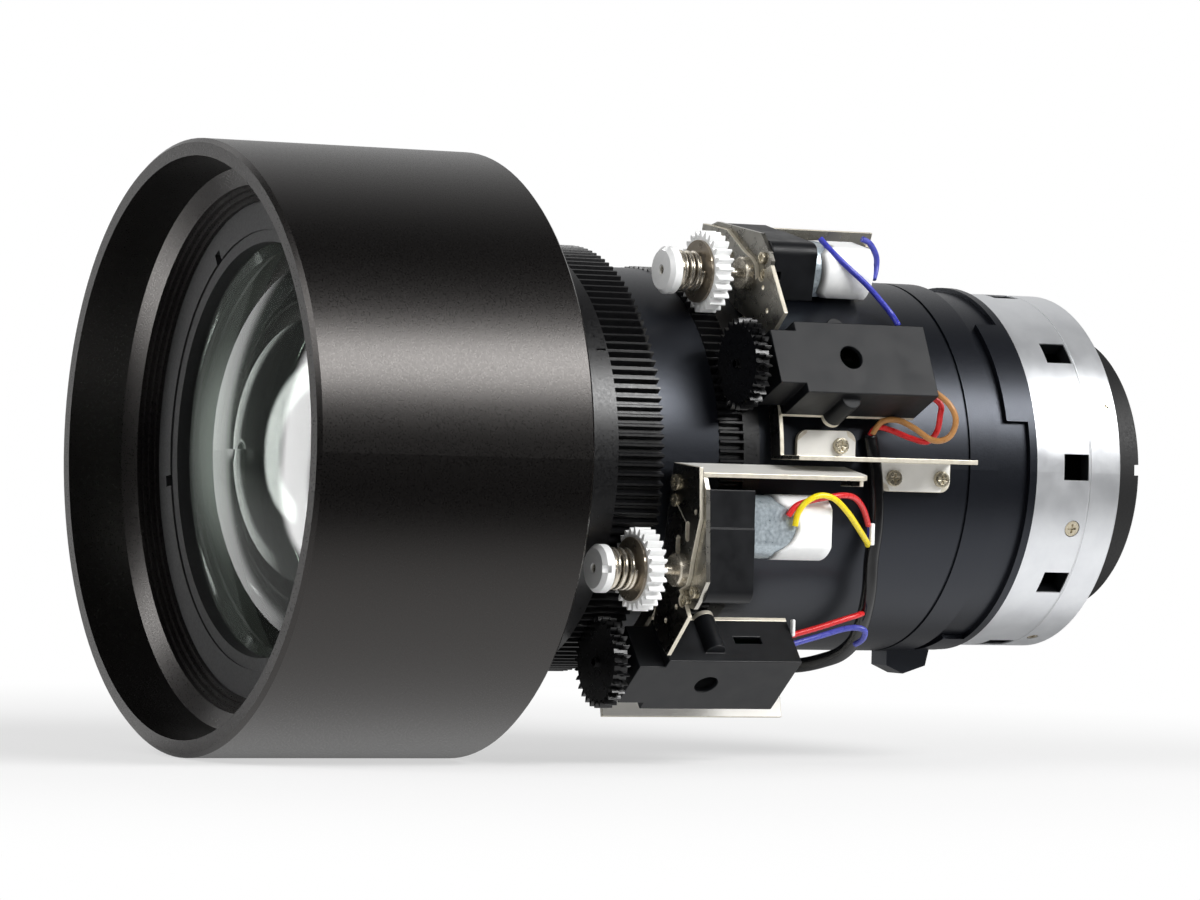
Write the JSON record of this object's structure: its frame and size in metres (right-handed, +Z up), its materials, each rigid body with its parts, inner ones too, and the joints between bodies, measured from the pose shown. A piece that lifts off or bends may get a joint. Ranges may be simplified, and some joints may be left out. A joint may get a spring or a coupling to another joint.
{
  "type": "projection zoom lens",
  "caption": "Motorised zoom and focus projection lens with a wide hood, toothed rings turned by spring clutch gear motors, position sensors, bayonet flange and windowed spigot.",
  "frame": {"origin": "centre of the mount flange's rear seating face, on the optical axis", "axes": "-Y along the optical axis towards the front glass, +Y towards the rear, +Z up"},
  "size_m": [0.12, 0.2019, 0.12],
  "materials": {
    "black_anodised": "satin",
    "black_ring": "satin",
    "dark_metal": "matte",
    "cam_bronze": "satin",
    "machined_aluminium": "satin",
    "optical_glass": "polished",
    "screw_steel": "satin",
    "plated_sheet": "satin",
    "plated_bush": "polished",
    "black_plastic": "matte",
    "motor_steel": "satin",
    "white_nylon": "satin",
    "spring_steel": "polished",
    "washer_steel": "satin",
    "label_paper": "matte",
    "circuit_board": "satin",
    "yellow_lead": "satin",
    "blue_lead": "satin",
    "salmon_lead": "satin",
    "brown_lead": "satin",
    "black_sleeve": "gloss"
  },
  "bodies": {
    "barrel": {"main_barrel": "black_anodised", "front_sleeve": "black_anodised", "guide_tube": "dark_metal", "mount_spigot": "machined_aluminium", "rear_ring": "dark_metal", "rear_lens": "optical_glass", "rear_retaining_ring": "dark_metal", "spigot_screws": "screw_steel", "bracket_screws": "screw_steel", "focus_bracket": "plated_sheet", "zoom_bracket": "plated_sheet", "focus_gearbox_case": "black_plastic", "zoom_gearbox_case": "black_plastic", "gearbox_plates": "plated_sheet", "drive_bushes": "plated_bush", "focus_motor_can": "motor_steel", "zoom_motor_can": "motor_steel", "motor_end_caps": "white_nylon", "motor_labels": "label_paper", "focus_sensor_cover": "black_plastic", "zoom_sensor_cover": "black_plastic", "sensor_potentiometers": "circuit_board", "focus_motor_leads": "yellow_lead", "zoom_motor_leads": "blue_lead", "focus_sensor_leads": "salmon_lead", "zoom_sensor_leads": "brown_lead", "lead_sleeve": "black_sleeve"},
    "front_cell": {"hood": "black_anodised", "front_barrel": "black_anodised", "front_lens": "optical_glass", "second_lens": "optical_glass", "front_retaining_ring": "dark_metal", "front_spacers": "dark_metal"},
    "focus_collar": {"focus_ring": "black_ring"},
    "zoom_drum": {"zoom_ring": "black_ring", "cam_tube": "cam_bronze", "zoom_drive_pins": "screw_steel"},
    "variator": {"variator_cell": "dark_metal", "variator_lens": "optical_glass", "variator_pins": "screw_steel"},
    "compensator": {"compensator_cell": "dark_metal", "compensator_lens": "optical_glass", "compensator_pins": "screw_steel"},
    "focus_drive": {"focus_drive_shaft": "spring_steel", "focus_drive_gear": "white_nylon", "focus_clutch_washer": "washer_steel", "focus_clutch_spring": "spring_steel", "focus_clutch_cap": "white_nylon"},
    "zoom_drive": {"zoom_drive_shaft": "spring_steel", "zoom_drive_gear": "white_nylon", "zoom_clutch_washer": "washer_steel", "zoom_clutch_spring": "spring_steel", "zoom_clutch_cap": "white_nylon"},
    "focus_sensor": {"focus_sensor_gear": "black_plastic"},
    "zoom_sensor": {"zoom_sensor_gear": "black_plastic"},
    "focus_rotor": {"focus_motor_rotor": "motor_steel"},
    "zoom_rotor": {"zoom_motor_rotor": "motor_steel"},
    "focus_reduction": {"focus_reduction_gear": "white_nylon"},
    "zoom_reduction": {"zoom_reduction_gear": "white_nylon"}
  },
  "joints": [
    {"name": "focus_turn", "type": "hinge", "parent": "front_cell", "child": "focus_collar", "pos_m": [0, 0, 0], "axis": [0, -1, 0], "range_deg": [-28, 28]},
    {"name": "focus_travel", "type": "slide", "parent": "barrel", "child": "front_cell", "axis": [0, -1, 0], "range_m": [-0.00234, 0.00234]},
    {"name": "zoom_turn", "type": "hinge", "parent": "barrel", "child": "zoom_drum", "pos_m": [0, 0, 0], "axis": [0, -1, 0], "range_deg": [-30, 30]},
    {"name": "variator_travel", "type": "slide", "parent": "barrel", "child": "variator", "axis": [0, 1, 0], "range_m": [-0.00701, 0.00701]},
    {"name": "compensator_travel", "type": "slide", "parent": "barrel", "child": "compensator", "axis": [0, 1, 0], "range_m": [-0.00251, 0.00251]},
    {"name": "focus_drive_turn", "type": "hinge", "parent": "barrel", "child": "focus_drive", "pos_m": [0.04486, 0, -0.02092], "axis": [0, -1, 0], "range_deg": [-163, 163]},
    {"name": "zoom_drive_turn", "type": "hinge", "parent": "barrel", "child": "zoom_drive", "pos_m": [0.02626, 0, 0.03764], "axis": [0, -1, 0], "range_deg": [-160, 160]},
    {"name": "focus_sensor_turn", "type": "hinge", "parent": "barrel", "child": "focus_sensor", "pos_m": [0.03137, 0, -0.03944], "axis": [0, -1, 0], "range_deg": [-146, 146]},
    {"name": "zoom_sensor_turn", "type": "hinge", "parent": "barrel", "child": "zoom_sensor", "pos_m": [0.04259, 0, 0.01941], "axis": [0, -1, 0], "range_deg": [-143, 143]},
    {"name": "focus_reduction_turn", "type": "hinge", "parent": "barrel", "child": "focus_reduction", "pos_m": [0.04486, 0, -0.01642], "axis": [0, -1, 0], "range_deg": [-326, 326]},
    {"name": "zoom_reduction_turn", "type": "hinge", "parent": "barrel", "child": "zoom_reduction", "pos_m": [0.02186, 0, 0.03858], "axis": [0, -1, 0], "range_deg": [-320, 320]},
    {"name": "focus_motor_turn", "type": "hinge", "parent": "barrel", "child": "focus_rotor", "pos_m": [0.04486, 0, -0.01222], "axis": [0, -1, 0], "range_deg": [-815, 815]},
    {"name": "zoom_motor_turn", "type": "hinge", "parent": "barrel", "child": "zoom_rotor", "pos_m": [0.01775, 0, 0.03945], "axis": [0, -1, 0], "range_deg": [-800, 800]}
  ],
  "couplings": [
    {"joint": "focus_travel", "follows": "focus_turn", "m_per_rad": 0.0047747},
    {"joint": "focus_drive_turn", "follows": "focus_turn", "ratio": -5.6},
    {"joint": "focus_sensor_turn", "follows": "focus_turn", "ratio": -5},
    {"joint": "focus_reduction_turn", "follows": "focus_turn", "ratio": 11.2},
    {"joint": "focus_motor_turn", "follows": "focus_turn", "ratio": -28},
    {"joint": "variator_travel", "follows": "zoom_turn", "m_per_rad": 0.013369},
    {"joint": "compensator_travel", "follows": "zoom_turn", "m_per_rad": -0.0047747},
    {"joint": "zoom_drive_turn", "follows": "zoom_turn", "ratio": -5.12},
    {"joint": "zoom_sensor_turn", "follows": "zoom_turn", "ratio": -4.5714},
    {"joint": "zoom_reduction_turn", "follows": "zoom_turn", "ratio": 10.24},
    {"joint": "zoom_motor_turn", "follows": "zoom_turn", "ratio": -25.6}
  ]
}
